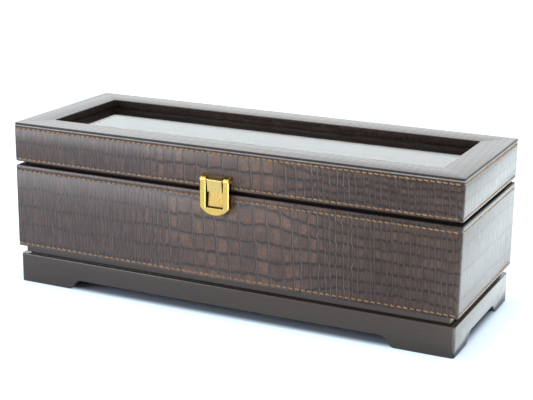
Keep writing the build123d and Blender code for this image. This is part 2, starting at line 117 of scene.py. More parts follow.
def ramp(tree, value, start, end, low=0.0, high=1.0, shape="SMOOTHSTEP"):
    """Value rises from low at start to high at end."""
    reach = {"Value": value, 1: start, 2: end, 3: low, 4: high}
    return put(tree, "MapRange", reach, interpolation_type=shape).outputs[0]


def tint(tree, share, first, second, mode="MIX"):
    """Mix two colours."""
    inputs = {0: share, 6: first, 7: second}
    return put(tree, "Mix", inputs, data_type="RGBA", blend_type=mode, clamp_factor=True).outputs[2]


def stretch(tree, place, size):
    """Scale a place vector along each axis."""
    return put(tree, "VectorMath", {0: place, 1: size}, operation="MULTIPLY").outputs[0]


def cloud(tree, place, scale, detail):
    """Soft noise between 0 and 1, with features about 1 / scale across."""
    return put(tree, "TexNoise", {"Vector": place, "Scale": scale, "Detail": detail}).outputs[0]


def wander(tree, value, noise, reach):
    """Shift a value by noise, up to half of reach either way."""
    return calc(tree, "MULTIPLY_ADD", calc(tree, "SUBTRACT", noise, 0.5), reach, value)


def start_finish(name):
    """New material; returns it with its node tree and shader."""
    material = bpy.data.materials.new(name)
    material.use_nodes = True
    return material, material.node_tree, material.node_tree.nodes["Principled BSDF"]


def object_place(tree):
    """Place on the object, in millimetres."""
    return stretch(tree, put(tree, "TexCoord").outputs["Object"], to_millimetres)


def join_bump(tree, shader, height, depth_mm, strength=1.0):
    """Relief of the given depth on the shader."""
    inputs = {"Height": height, "Distance": depth_mm * MM, "Strength": strength}
    tree.links.new(put(tree, "Bump", inputs).outputs[0], shader.inputs["Normal"])


# Embossed leather


half_girth = (box_length + box_depth) / MM
front_end = box_length / MM
# The blackest leather colour is painted shade, for the creases between the rows of scales.
leather_painted_crease_shade, leather_dark = (0.02, 0.013, 0.011, 1), (0.04, 0.027, 0.023, 1)
leather_brown, leather_tan = (0.108, 0.065, 0.05, 1), (0.24, 0.13, 0.085, 1)
# The pale leather colour is a painted highlight, for the streaks and the lines between columns.
leather_painted_sheen = (0.22, 0.175, 0.155, 1)
emboss_depth = 0.26
row_shift = 0.09


def scale_grid(tree, hide, zones, rows_from, row_heights, widths, row_shade):
    """Lay out the scales on the hide map.

    Returns the way round the box, the distances to the nearest line between rows and between
    columns, a tone for each scale, and how dark the lines between rows are."""
    slow, quick = cloud(tree, hide, 0.04, 1), cloud(tree, hide, 0.2, 1)
    step = cloud(tree, stretch(tree, hide, (0.3, 0.025, 1)), 1.0, 0)
    parts = put(tree, "SeparateXYZ", {0: hide})
    u = wander(tree, parts.outputs[0], quick, 2.4)
    u = calc(tree, "MODULO", calc(tree, "ADD", u, half_girth), half_girth)
    v = wander(tree, parts.outputs[1], slow, 5.0)
    v = wander(tree, wander(tree, v, quick, 2.6), step, 0.8)
    v = calc(tree, "SUBTRACT", v, rows_from)

    across = calc(tree, "MULTIPLY", u, 1 / widths[0])
    column_rate, row_rate, shade = 1 / widths[0], 1 / row_heights[0], row_shade[0]
    for number, (begin, end) in enumerate(zones):
        more_columns = 1 / widths[number + 1] - 1 / widths[number]
        more_rows = 1 / row_heights[number + 1] - 1 / row_heights[number]
        more_shade = row_shade[number + 1] - row_shade[number]
        share = ramp(tree, u, begin, end, shape="LINEAR")
        risen = calc(tree, "MULTIPLY", calc(tree, "POWER", share, 2.0), (end - begin) / 2)
        risen = calc(tree, "ADD", risen, calc(tree, "MAXIMUM", calc(tree, "SUBTRACT", u, end), 0.0))
        across = calc(tree, "MULTIPLY_ADD", risen, more_columns, across)
        column_rate = calc(tree, "MULTIPLY_ADD", share, more_columns, column_rate)
        row_rate = calc(tree, "MULTIPLY_ADD", share, more_rows, row_rate)
        shade = calc(tree, "MULTIPLY_ADD", share, more_shade, shade)

    up = calc(tree, "MULTIPLY", v, row_rate)
    within = calc(tree, "FRACT", up)
    nearer = calc(tree, "MINIMUM", within, calc(tree, "SUBTRACT", 1.0, within))
    to_row_line = calc(tree, "DIVIDE", nearer, row_rate)
    row = calc(tree, "FLOOR", up)
    across = calc(tree, "MULTIPLY_ADD", row, row_shift, across)
    columns = {"W": across, "Scale": 1.0, "Randomness": 0.7}
    edge = put(tree, "TexVoronoi", columns, voronoi_dimensions="1D", feature="DISTANCE_TO_EDGE")
    centre = put(tree, "TexVoronoi", columns, voronoi_dimensions="1D", feature="F1")
    to_side_line = calc(tree, "DIVIDE", edge.outputs["Distance"], column_rate)
    cell = put(tree, "CombineXYZ", {0: centre.outputs["W"], 1: row}).outputs[0]
    tone = put(tree, "TexWhiteNoise", {"Vector": cell}, noise_dimensions="2D").outputs["Value"]
    return u, to_row_line, to_side_line, tone, shade


def embossed_leather(
    name, *layout, relief=1.0, pebble=0.8, coat=0.45, specular=0.4, worn=0.48, dim=1.0
):
    """Crocodile embossing on the hide map: u runs round the box and v up it, in millimetres.

    layout is the zones where the scales change, as (start, end), the level that rows start from,
    and then the row heights, the scale widths and the shade of the lines between rows, each before,
    between and after the zones. relief weakens the embossing, pebble rounds the scales, coat and
    specular are the polish, worn is the share of it left towards the right of the front, and dim
    scales the colour."""
    material, tree, shader = start_finish(name)
    hide = stretch(tree, put(tree, "UVMap", uv_map="hide").outputs[0], to_millimetres)
    u, to_row_line, to_side_line, tone, shade = scale_grid(tree, hide, *layout)
    dome = ramp(tree, calc(tree, "SMOOTH_MIN", to_row_line, to_side_line, pebble), 0.0, 1.5)
    grain = cloud(tree, hide, 1.6, 3)
    # The relief and the painted marks are weaker towards the left of the front.
    weaker_at_left = ramp(tree, u, 80.0, 140.0, 0.6, 1.0)
    pressed = ramp(tree, u, front_end - 3, front_end + 3, relief, 0.35 * relief)
    pressed = calc(tree, "MULTIPLY", pressed, weaker_at_left)

    # Streaks along the hide: a fine relief, and painted pale as a painted highlight.
    streaks_and_sheen = ramp(tree, cloud(tree, stretch(tree, hide, (1.0, 0.1, 1)), 1.05, 2), 0.5, 0.72)
    streaks_and_sheen = calc(tree, "MULTIPLY", streaks_and_sheen, calc(tree, "SUBTRACT", 1.1, shade))
    streaks_and_sheen = calc(tree, "MULTIPLY", streaks_and_sheen, weaker_at_left)
    broken = ramp(tree, cloud(tree, stretch(tree, hide, (1.0, 0.35, 1)), 0.33, 2), 0.35, 0.62)
    # Dark lines between the rows: painted shade in the creases, weaker where the lines break.
    row_line = calc(tree, "MULTIPLY", shade, broken)
    row_line = calc(tree, "MULTIPLY", ramp(tree, to_row_line, 0.8, 0.12), row_line)
    # Pale lines between the columns: a painted highlight on the groove walls.
    side_line = calc(tree, "MULTIPLY_ADD", broken, 0.6, 0.4)
    side_line = calc(tree, "MULTIPLY", ramp(tree, to_side_line, 0.55, 0.1), side_line)
    faint = calc(tree, "MULTIPLY", pressed, ramp(tree, u, 240.0, 275.0, 0.8, 0.4))

    patches = cloud(tree, stretch(tree, hide, (1.0, 0.7, 1)), 0.09, 2)
    flecks = cloud(tree, hide, 0.5, 2)
    warmth = calc(tree, "MULTIPLY_ADD", tone, 0.6, 0.4)
    for part in (
        ramp(tree, patches, 0.38, 0.6, 0.4, 1.0), ramp(tree, flecks, 0.32, 0.68, 0.35, 1.0),
        ramp(tree, to_side_line, 0.2, 2.2), ramp(tree, to_row_line, 0.3, 2.6),
        ramp(tree, u, 210.0, 260.0, 1.0, 0.4),
    ):
        warmth = calc(tree, "MULTIPLY", warmth, part)
    heart = calc(tree, "MULTIPLY", dome, calc(tree, "MULTIPLY_ADD", tone, 0.45, 0.4))

    colour = tint(tree, calc(tree, "MULTIPLY", heart, pressed), leather_dark, leather_brown)
    colour = tint(tree, calc(tree, "MULTIPLY", warmth, relief), colour, leather_tan)
    colour = tint(tree, calc(tree, "MULTIPLY", row_line, pressed), colour, leather_painted_crease_shade)
    colour = tint(tree, calc(tree, "MULTIPLY", streaks_and_sheen, 0.45 * relief), colour, leather_painted_sheen)
    colour = tint(tree, calc(tree, "MULTIPLY", side_line, faint), colour, leather_painted_sheen)
    # dim darkens the whole colour: painted shade, used where the leather sits in shade.
    colour = tint(tree, 1.0, colour, (dim, dim, dim, 1), "MULTIPLY")
    tree.links.new(colour, shader.inputs["Base Color"])

    gloss = calc(tree, "MULTIPLY_ADD", dome, -0.1, 0.5)
    tree.links.new(calc(tree, "MULTIPLY_ADD", grain, 0.12, gloss), shader.inputs["Roughness"])
    height = calc(tree, "MULTIPLY_ADD", grain, 0.2, dome)
    height = calc(tree, "MULTIPLY_ADD", streaks_and_sheen, 0.4, height)
    join_bump(tree, shader, height, emboss_depth, calc(tree, "MULTIPLY", pressed, 0.8))
    polish = ramp(tree, u, 170.0, 300.0, 1.0, worn)
    polish = calc(tree, "MAXIMUM", polish, ramp(tree, u, front_end - 5, front_end + 5))
    tree.links.new(calc(tree, "MULTIPLY", polish, specular), shader.inputs["Specular IOR Level"])
    tree.links.new(calc(tree, "MULTIPLY", polish, coat), shader.inputs["Coat Weight"])
    shader.inputs["Coat Roughness"].default_value = 0.25
    shader.inputs["Coat IOR"].default_value = 1.6
    return material


case_leather = embossed_leather(
    "embossed case leather", ((100, 135), (205, 245), (322, 328)), 56.0,
    (13.0, 11.5, 7.0, 17.0), (2.9, 9.4, 3.8, 3.3), (0.2, 0.55, 0.8, 0.15),
)
lid_leather = embossed_leather(
    "embossed lid leather", ((100, 125), (200, 230), (322, 328)), 102.0,
    (12.0, 11.5, 4.6, 9.0), (3.1, 9.2, 4.3, 3.6), (0.2, 0.55, 0.7, 0.15), pebble=1.6,
)
top_leather = embossed_leather(
    "embossed top leather", ((100, 140), (210, 250)), 0.0,
    (6.0, 9.0, 5.5), (5.0, 9.0, 5.0), (0.1, 0.1, 0.1), relief=0.22, coat=0.8, worn=1.0,
)
# The window's reveal is the lid leather darkened: painted shade for the walls of the window.
reveal_leather = embossed_leather(
    "embossed reveal leather", ((100, 125), (200, 230)), 102.0,
    (12.0, 11.5, 9.0), (3.1, 9.2, 4.3), (0.2, 0.2, 0.2),
    relief=0.6, coat=0.0, specular=0.07, dim=0.55,
)


def plain_finish(
    name, colours, roughness, noise_size, bump_mm, grain_size, stretch_by=(1, 1, 1), **sockets
):
    """Finish with two colours mixed by soft noise, varied gloss and a fine relief.

    sockets are further settings of the shader, with _ for each space."""
    material, tree, shader = start_finish(name)
    place = stretch(tree, object_place(tree), stretch_by)
    mottle = ramp(tree, cloud(tree, place, 1 / noise_size, 3), 0.3, 0.7)
    grain = cloud(tree, place, 1 / grain_size, 3)
    tree.links.new(tint(tree, mottle, *[(*c, 1) for c in colours]), shader.inputs["Base Color"])
    tree.links.new(ramp(tree, grain, 0.2, 0.8, *roughness), shader.inputs["Roughness"])
    join_bump(tree, shader, grain, bump_mm)
    for key, value in sockets.items():
        shader.inputs[key.replace("_", " ")].default_value = value
    return material


lacquer = plain_finish(
    "dark brown lacquer", ((0.058, 0.041, 0.032), (0.072, 0.051, 0.039)), (0.25, 0.29),
    30, 0.001, 3.0, (0.15, 1, 1), Coat_Weight=0.42, Coat_Roughness=0.15,
)
# Black edge paint, which also stands in as painted shade for the seam under the lid's top leather.
black_paint_and_shade = plain_finish(
    "black edge paint", ((0.012, 0.01, 0.01), (0.018, 0.014, 0.013)), (0.5, 0.6), 8, 0.02, 1.2,
)
# The turned edge is the same leather painted much paler: a painted highlight on the rolled edge
# below the lid top.
edge_leather_painted_highlight = plain_finish(
    "turned edge leather", ((0.27, 0.23, 0.21), (0.36, 0.31, 0.29)), (0.3, 0.4), 4, 0.02, 1.0,
    Coat_Weight=0.6, Coat_Roughness=0.2, Coat_IOR=1.5,
)
fibreboard = plain_finish(
    "fibreboard", ((0.36, 0.25, 0.16), (0.45, 0.33, 0.22)), (0.7, 0.85), 3, 0.05, 0.8,
)
velvet = plain_finish(
    "brown velvet", ((0.034, 0.021, 0.016), (0.05, 0.032, 0.025)), (0.85, 0.95), 14, 0.12, 0.5,
    Sheen_Weight=0.7, Sheen_Roughness=0.35,
)
# The rim velvet is a near-black copy of the lining velvet: painted shade for the gap between lid
# and case.
rim_velvet_painted_shade = plain_finish(
    "black rim velvet", ((0.012, 0.009, 0.008), (0.02, 0.015, 0.013)), (0.85, 0.95), 14, 0.12, 0.5,
    Specular_IOR_Level=0.2,
)
suede = plain_finish(
    "pillow suede", ((0.085, 0.053, 0.036), (0.125, 0.082, 0.057)), (0.8, 0.95), 11, 0.1, 0.45,
    Sheen_Weight=0.6, Sheen_Roughness=0.4,
)
retainer_black = plain_finish(
    "retainer plastic", ((0.03, 0.024, 0.02), (0.04, 0.032, 0.027)), (0.4, 0.5), 8, 0.02, 0.6,
)
steel = plain_finish(
    "screw steel", ((0.55, 0.55, 0.56), (0.62, 0.62, 0.63)), (0.25, 0.38), 2, 0.006, 0.3,
    Metallic=1.0,
)


# Colour of the painted shade in the latch's recesses.
latch_painted_shade = (0.03, 0.018, 0.006, 1)


def latch_brass(name, colours, roughness, shade_from, shade_full, low, high, depth, rim):
    """Brass brushed upwards, with painted shade in the recesses of the latch.

    The painted shade sets in from shade_from to shade_full, measured from the latch's middle, above
    the level low, and everywhere above the level high. depth is how dark it gets. Further than rim
    from the middle the painted shade drops to a third: a painted highlight along the brass's outer
    edges."""
    material, tree, shader = start_finish(name)
    place = object_place(tree)
    parts = put(tree, "SeparateXYZ", {0: place})
    level = parts.outputs[2]
    sideways = calc(tree, "SUBTRACT", parts.outputs[0], latch_middle / MM)
    from_middle = calc(tree, "ABSOLUTE", sideways)
    # Painted shade: in the latch's gaps and along its top, lighter along the outer edges as a
    # painted highlight.
    shade = ramp(tree, from_middle, shade_from, shade_full)
    shade = calc(tree, "MULTIPLY", shade, ramp(tree, level, low, low + 0.05))
    shade = calc(tree, "MULTIPLY", shade, ramp(tree, from_middle, rim, rim + 0.1, 1.0, 0.3))
    shade = calc(tree, "MAXIMUM", shade, ramp(tree, level, high, high + 0.3))
    brushed = cloud(tree, stretch(tree, place, (1, 1, 0.12)), 3.0, 3)
    colour = tint(tree, ramp(tree, brushed, 0.3, 0.7), *[(*c, 1) for c in colours])
    colour = tint(tree, calc(tree, "MULTIPLY", shade, depth), colour, latch_painted_shade)
    tree.links.new(colour, shader.inputs["Base Color"])
    tree.links.new(ramp(tree, brushed, 0.2, 0.8, *roughness), shader.inputs["Roughness"])
    join_bump(tree, shader, brushed, 0.01)
    shader.inputs["Metallic"].default_value = 1.0
    shader.inputs["Coat Weight"].default_value = 0.5
    shader.inputs["Coat Roughness"].default_value = 0.12
    return material


flap_lo, flap_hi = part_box("latch_flap")
plate_lo, plate_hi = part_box("latch_lid_plate")
latch_middle = (flap_lo.x + flap_hi.x) / 2
flap_top = flap_hi.z / MM
plate_lit_edge = (plate_hi.x - plate_lo.x) / MM / 2 - 0.25
above_latch, beyond_latch = 110, 20
brass = plain_finish(
    "hinge brass", ((0.9, 0.64, 0.17), (0.97, 0.72, 0.22)), (0.16, 0.26), 4, 0.004, 0.25,
    (1, 1, 0.3), Metallic=1.0,
)
flap_brass = latch_brass(
    "flap brass", ((0.84, 0.58, 0.145), (0.99, 0.71, 0.2)), (0.18, 0.3),
    6.35, 6.3, 76.4, above_latch, 0.92, beyond_latch,
)
plate_brass = latch_brass(
    "lid plate brass", ((1.0, 0.71, 0.2), (1.0, 0.76, 0.26)), (0.14, 0.22),
    5.4, 5.8, 0, flap_top - 1.6, 0.93, plate_lit_edge,
)
# The catch is a darker copy of the latch brass: painted shade for the tongue's lower half, which
# tilts down away from the light.
catch_brass = latch_brass(
    "catch brass", ((0.58, 0.38, 0.095), (0.78, 0.53, 0.155)), (0.24, 0.4),
    5.4, 5.6, 0, above_latch, 0.8, plate_lit_edge,
)
thread = plain_finish(
    "tan thread", ((0.28, 0.155, 0.072), (0.42, 0.245, 0.12)), (0.5, 0.65), 2.5, 0.08, 0.35,
)


def clear_glass():
    """Clear glass that lets the lamps through to the inside."""
    material, tree, shader = start_finish("window glass")
    haze = ramp(tree, cloud(tree, object_place(tree), 0.02, 2), 0.3, 0.7, 0.0, 0.02)
    tree.links.new(haze, shader.inputs["Roughness"])
    shader.inputs["Base Color"].default_value = (0.97, 0.99, 0.985, 1)
    shader.inputs["Transmission Weight"].default_value = 1.0
    shader.inputs["IOR"].default_value = 1.5
    shadow = put(tree, "LightPath").outputs["Is Shadow Ray"]
    see_through = put(tree, "BsdfTransparent", {0: (0.85, 0.9, 0.88, 1)}).outputs[0]
    both = put(tree, "MixShader", {0: shadow, 1: shader.outputs[0], 2: see_through}).outputs[0]
    tree.links.new(both, tree.nodes["Material Output"].inputs["Surface"])
    return material


glass = clear_glass()


# Modelling helpers


def leave_selection():
    """Go to object mode with nothing selected."""
    if bpy.context.object and bpy.context.object.mode != "OBJECT":
        bpy.ops.object.mode_set(mode="OBJECT")
    bpy.ops.object.select_all(action="DESELECT")


def take(piece):
    """Select one object alone and make it active."""
    leave_selection()
    piece.select_set(True)
    bpy.context.view_layer.objects.active = piece


def settle(piece):
    """Put an object's place, turn and scale into its mesh."""
    take(piece)
    bpy.ops.object.transform_apply(location=True, rotation=True, scale=True)
    return piece


def block(name, lo, hi):
    """Cube primitive that fills a box."""
    leave_selection()
    bpy.ops.mesh.primitive_cube_add(size=1, location=(Vector(lo) + Vector(hi)) / 2)
    piece = bpy.context.object
    piece.name = piece.data.name = name
    piece.scale = Vector(hi) - Vector(lo)
    return settle(piece)


def pick(piece, kind, rule):
    """In edit mode, select the parts of a mesh that meet a rule on their middle and direction."""
    if piece.mode != "EDIT":
        take(piece)
        bpy.ops.object.mode_set(mode="EDIT")
    bpy.ops.mesh.select_mode(type=kind)
    bpy.ops.mesh.select_all(action="DESELECT")
    mesh = bmesh.from_edit_mesh(piece.data)
    if kind == "FACE":
        for face in mesh.faces:
            face.select_set(rule(face.calc_center_median(), face.normal))
    elif kind == "EDGE":
        for edge in mesh.edges:
            a, b = (v.co for v in edge.verts)
            edge.select_set(rule((a + b) / 2, (b - a).normalized()))
    else:
        for vert in mesh.verts:
            vert.select_set(rule(vert.co, vert.normal))
    mesh.select_flush_mode()
    bmesh.update_edit_mesh(piece.data)


def rounded_block(name, lo, hi, radius):
    """Block with rounded upright corners."""
    piece = block(name, lo, hi)
    pick(piece, "EDGE", lambda place, direction: abs(direction.z) > 0.9)
    bpy.ops.mesh.bevel(offset=radius, segments=6, affect="EDGES", clamp_overlap=True)
    leave_selection()
    return piece


def smooth(piece, angle=35):
    """Shade smooth across edges under an angle."""
    take(piece)
    bpy.ops.object.shade_smooth_by_angle(angle=radians(angle))


def apply_modifier(piece, kind, **settings):
    """Add a modifier to a piece and apply it."""
    take(piece)
    modifier = piece.modifiers.new(kind.lower(), kind)
    for key, value in settings.items():
        setattr(modifier, key, value)
    bpy.ops.object.modifier_apply(modifier=modifier.name)


def soften(piece, width, segments, angle=50):
    """Bevel every edge sharper than an angle."""
    rule = {"limit_method": "ANGLE", "angle_limit": radians(angle)}
    apply_modifier(piece, "BEVEL", width=width, segments=segments, **rule)


def cut(piece, tool, operation="DIFFERENCE"):
    """Boolean with another object, which is used up."""
    apply_modifier(piece, "BOOLEAN", object=tool, operation=operation, solver="EXACT")
    bpy.data.objects.remove(tool)


def dress(piece, material, body, slot, *replaced):
    """Give a finished piece its material and body, and the nodes it stands for."""
    piece.data.materials.clear()
    piece.data.materials.append(material)
    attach(piece, body)
    if replaced:
        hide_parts(*replaced)


def outline_plate(name, lo, hi, z, radius):
    """Plane primitive with rounded corners, left in edit mode."""
    leave_selection()
    middle = Vector(((lo.x + hi.x) / 2, (lo.y + hi.y) / 2, z))
    bpy.ops.mesh.primitive_plane_add(size=1, location=middle)
    piece = bpy.context.object
    piece.name = piece.data.name = name
    piece.scale = (hi.x - lo.x, hi.y - lo.y, 1)
    settle(piece)
    pick(piece, "VERT", lambda place, normal: True)
    bpy.ops.mesh.bevel(offset=radius, segments=5, affect="VERTICES")
    return piece


def raise_wall(steps):
    """Extrude the selected outline through steps of (inset, level), scaling it to each inset."""
    half_x, half_y = box_length / 2, box_depth / 2
    last_inset, last_z = steps[0]
    for inset, z in steps[1:]:
        bpy.ops.mesh.extrude_region_move(TRANSFORM_OT_translate={"value": (0, 0, z - last_z)})
        ratio_x = (half_x - inset) / (half_x - last_inset)
        ratio_y = (half_y - inset) / (half_y - last_inset)
        bpy.ops.transform.resize(
            value=(ratio_x, ratio_y, 1), center_override=(box_middle.x, box_middle.y, z)
        )
        last_inset, last_z = inset, z


def hide_map(piece):
    """Lay the hide map: round the box and up the walls, and flat across level faces."""
    layer = piece.data.uv_layers.new(name="hide")
    for face in piece.data.polygons:
        n = face.normal
        for index in face.loop_indices:
            place = piece.data.vertices[piece.data.loops[index].vertex_index].co
            x, y, z = place.x - case_lo.x, place.y - case_lo.y, place.z
            if abs(n.z) > 0.8:
                u, v = x, y
            elif abs(n.y) > abs(n.x):
                u, v = (x, z) if n.y < 0 else (box_length + box_depth + box_length - x, z)
            else:
                u, v = (box_length + y, z) if n.x > 0 else (girth - y, z)
            layer.data[index].uv = (u, v)


def wall_skin(name, steps):
    """Thin closed wall round the box through steps of (inset, level) along its outside."""
    first_inset, first_z = steps[0]
    inset = Vector((first_inset, first_inset, 0))
    piece = outline_plate(name, case_lo + inset, case_hi - inset, first_z, corner_round)
    pick(piece, "FACE", lambda place, normal: True)
    bpy.ops.mesh.delete(type="ONLY_FACE")
    pick(piece, "EDGE", lambda place, direction: True)
    raise_wall(steps)
    bpy.ops.mesh.select_all(action="SELECT")
    bpy.ops.mesh.normals_make_consistent(inside=False)
    leave_selection()
    return piece


# Leather on the case and lid

stitch_dip = 0.16 * MM
stitch_reach = 0.75 * MM


def stitched(levels, steps):
    """Add a shallow dip in a wall's steps at each level that carries a row of stitches."""
    dips = [
        (inset, level + side * reach)
        for level in levels
        for side in (-1, 1)
        for inset, reach in ((0, stitch_reach), (stitch_dip, stitch_reach * 0.4))
    ]
    return sorted([*steps, *dips], key=lambda step: step[1])


lid_rows = (112.0 * MM, 90.4 * MM)
case_rows = (82.0 * MM, 28.6 * MM)

case_turn_under = 12 * MM
case_wall = stitched(case_rows, [
    (0.8 * MM, case_lo.z), (0.3 * MM, case_lo.z + 0.15 * MM), (0.06 * MM, case_lo.z + 0.5 * MM),
    (0, case_lo.z + 1.0 * MM), (0, case_hi.z - 1.0 * MM), (0.3 * MM, case_hi.z - 0.3 * MM),
])
case_steps = [
    (case_turn_under, case_lo.z + leather), (case_turn_under, case_lo.z), *case_wall,
    (0.9 * MM, case_hi.z), (1.5 * MM, case_hi.z - 0.15 * MM), (1.7 * MM, case_hi.z - leather),
]
case_skin = wall_skin("case_leather_skin", case_steps)
apply_modifier(case_skin, "SOLIDIFY", thickness=case_skin_thickness, offset=-1)
hide_map(case_skin)
smooth(case_skin)
dress(case_skin, case_leather, "case", "embossed_leather", "case_leather")

rim_steps = [
    (1.5 * MM, case_hi.z - leather), (1.6 * MM, case_hi.z - 0.3 * MM),
    (2.0 * MM, case_hi.z - 0.1 * MM), (rim_width - 0.3 * MM, case_hi.z - 0.1 * MM),
    (rim_width, case_hi.z - 0.3 * MM), (rim_width, case_hi.z - leather),
]
case_rim = wall_skin("case_rim_velvet", rim_steps)
smooth(case_rim, 60)
dress(case_rim, rim_velvet_painted_shade, "case", "velvet_lining")

lid_turn_in = 6.3 * MM
band_lo, band_hi = top_hi.z - 2.4 * MM, top_hi.z - 1.35 * MM
lid_wall = stitched(lid_rows, [
    (0.9 * MM, side_lo.z), (0.25 * MM, side_lo.z + 0.3 * MM), (0, side_lo.z + 1.0 * MM),
    (0, band_lo - 0.45 * MM), (0.12 * MM, band_lo - 0.3 * MM), (0.45 * MM, band_lo - 0.25 * MM),
])
lid_steps = [
    (lid_turn_in, side_lo.z + leather), (lid_turn_in, side_lo.z), *lid_wall,
    (0.5 * MM, side_hi.z - 0.1 * MM), (1.5 * MM, side_hi.z - 0.05 * MM),
]
lid_skin = wall_skin("lid_leather_skin", lid_steps)
apply_modifier(lid_skin, "SOLIDIFY", thickness=lid_skin_thickness, offset=-1)
hide_map(lid_skin)
smooth(lid_skin)
dress(lid_skin, lid_leather, "lid", "embossed_leather", "lid_side_leather")

above_everything = 200 * MM
window_lo = Vector((reveal_lo.x + leather, reveal_lo.y + leather, 0))
window_hi = Vector((reveal_hi.x - leather, reveal_hi.y - leather, above_everything))
top_inset = Vector((0.35 * MM, 0.35 * MM, 0))

top_skin = rounded_block(
    "lid_top_leather_skin", top_lo + top_inset, top_hi - top_inset, corner_round
)
cut(top_skin, rounded_block("window_tool", window_lo, window_hi, window_corner))
soften(top_skin, 0.28 * MM, 3, 40)
hide_map(top_skin)
smooth(top_skin)
dress(top_skin, top_leather, "lid", "embossed_leather", "lid_top_leather")

# The rolled band below the top leather is painted pale, as a painted highlight.
band_steps = [
    (1.4 * MM, band_lo), (0.35 * MM, band_lo), (0.08 * MM, band_lo + 0.12 * MM),
    (0, band_lo + 0.4 * MM), (0, band_hi - 0.55 * MM), (0.1 * MM, band_hi - 0.25 * MM),
    (0.35 * MM, band_hi - 0.05 * MM), (1.4 * MM, band_hi),
]
edge_band = wall_skin("lid_edge_band", band_steps)
smooth(edge_band, 60)
dress(edge_band, edge_leather_painted_highlight, "lid", "embossed_leather")

# The black band at the top edge: the top leather's painted edge, and painted shade for the seam
# below it.
paint_steps = [
    (1.2 * MM, band_hi), (0.25 * MM, band_hi), (0.2 * MM, band_hi + 0.15 * MM),
    (0.2 * MM, top_hi.z - 0.3 * MM), (0.4 * MM, top_hi.z - 0.1 * MM),
]
edge_paint = wall_skin("lid_edge_paint", paint_steps)
smooth(edge_paint, 60)
dress(edge_paint, black_paint_and_shade, "lid", "embossed_leather")

reveal_skin = rounded_block("window_reveal_skin", reveal_lo, reveal_hi, window_corner + leather)
cut(reveal_skin, rounded_block("window_tool", window_lo, window_hi, window_corner))
soften(reveal_skin, 0.15 * MM, 2, 40)
hide_map(reveal_skin)
smooth(reveal_skin)
dress(reveal_skin, reveal_leather, "lid", "embossed_leather", "window_reveal_leather")


# Stitches, one row at a time

stitch_length = 3.3 * MM
stitch_plunge = 0.3 * MM
stitch_sink = 0.04 * MM
stitch_tilt = 7
thread_r = 0.55 * MM
corner_margin = 1.2 * MM


def stitch_template():
    """One stitch lying along X: a short strand that dips into the leather at both ends."""
    leave_selection()
    bpy.ops.mesh.primitive_uv_sphere_add(segments=8, ring_count=6, radius=1, location=(0, 0, 0))
    stitch = bpy.context.object
    stitch.name = "stitch"
    stitch.rotation_euler = (0, pi / 2, 0)
    settle(stitch)
    for vert in stitch.data.vertices:
        along = vert.co.x
        fullness = sqrt(1 - along ** 6) if abs(along) < 1 else 0
        across = sqrt(max(1 - along ** 2, 1e-6))
        vert.co.y *= fullness / across * thread_r
        vert.co.z *= fullness / across * thread_r
        vert.co.y += stitch_plunge * along ** 2
        vert.co.x = along * stitch_length / 2
    smooth(stitch, 60)
    return stitch


def stitch_row(name, level, body, pitch=4.0 * MM):
    """Row of stitches right round the box at one level."""
    draw = Random(name)
    pattern = stitch_template()
    copies = []
    for start, turn, length in (
        (Vector((case_lo.x, case_lo.y, level)), 0, box_length),
        (Vector((case_hi.x, case_lo.y, level)), pi / 2, box_depth),
        (Vector((case_hi.x, case_hi.y, level)), pi, box_length),
        (Vector((case_lo.x, case_hi.y, level)), -pi / 2, box_depth),
    ):
        count = floor((length - corner_margin) / pitch)
        spare = (length - count * pitch) / 2
        facing = Matrix.Rotation(turn, 4, "Z")
        for number in range(count):
            along = spare + (number + 0.5 + draw.uniform(-0.03, 0.03)) * pitch
            spot = start + facing @ Vector((along, stitch_sink, draw.uniform(-0.06, 0.06) * MM))
            tilt = Matrix.Rotation(radians(stitch_tilt + draw.uniform(-3, 3)), 4, "Y")
            copy = pattern.copy()
            copy.data = pattern.data.copy()
            copy.matrix_world = Matrix.Translation(spot) @ facing @ tilt
            bpy.context.scene.collection.objects.link(copy)
            copies.append(copy)
    bpy.data.objects.remove(pattern)
    leave_selection()
    for copy in copies:
        copy.select_set(True)
    bpy.context.view_layer.objects.active = copies[0]
    bpy.ops.object.join()
    row = bpy.context.object
    row.name = row.data.name = name
    settle(row)
    dress(row, thread, body, "embossed_leather")


stitch_row("lid_upper_stitches", lid_rows[0], "lid")
stitch_row("lid_lower_stitches", lid_rows[1], "lid")
stitch_row("case_upper_stitches", case_rows[0], "case")
stitch_row("case_lower_stitches", case_rows[1], "case", 4.35 * MM)


# Base

plinth_lo, plinth_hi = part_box("plinth_front_rail")[0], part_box("plinth_back_rail")[1]
plinth_wall = 12 * MM
plinth_corner = 2.0 * MM
arch_height = 7.1 * MM
front_foot, front_arch_run = 39.8 * MM, 8.8 * MM
side_foot, side_arch_run = 24.6 * MM, 11.2 * MM


def arch_tool(name, length, foot, run, turn):
    """Prism the shape of the opening between two feet, with an S curve at each end.

    length is that of the side that it cuts, foot each foot's width there and run the curve's."""
    leave_selection()
    bpy.ops.mesh.primitive_plane_add(size=1, location=(0, 0, 0))
    tool = bpy.context.object
    tool.name = name
    pick(tool, "VERT", lambda place, normal: True)
    steps = 12
    below_floor = -5 * MM
    through = 400 * MM
    half_width = length / 2 - foot
    half = [(half_width, below_floor)]
    for step in range(steps + 1):
        share = step / steps
        rise = 2 * share ** 2 if share < 0.5 else 1 - 2 * (1 - share) ** 2
        half.append((half_width - run * share, arch_height * rise))
    shape = bmesh.from_edit_mesh(tool.data)
    shape.clear()
    points = half + [(-x, z) for x, z in reversed(half)]
    shape.faces.new([shape.verts.new((x, 0, z)) for x, z in points])
    bmesh.update_edit_mesh(tool.data)
    leave_selection()
    apply_modifier(tool, "SOLIDIFY", thickness=through, offset=0)
    tool.rotation_euler = (0, 0, turn)
    tool.location = (box_middle.x, box_middle.y, 0)
    settle(tool)
    return tool


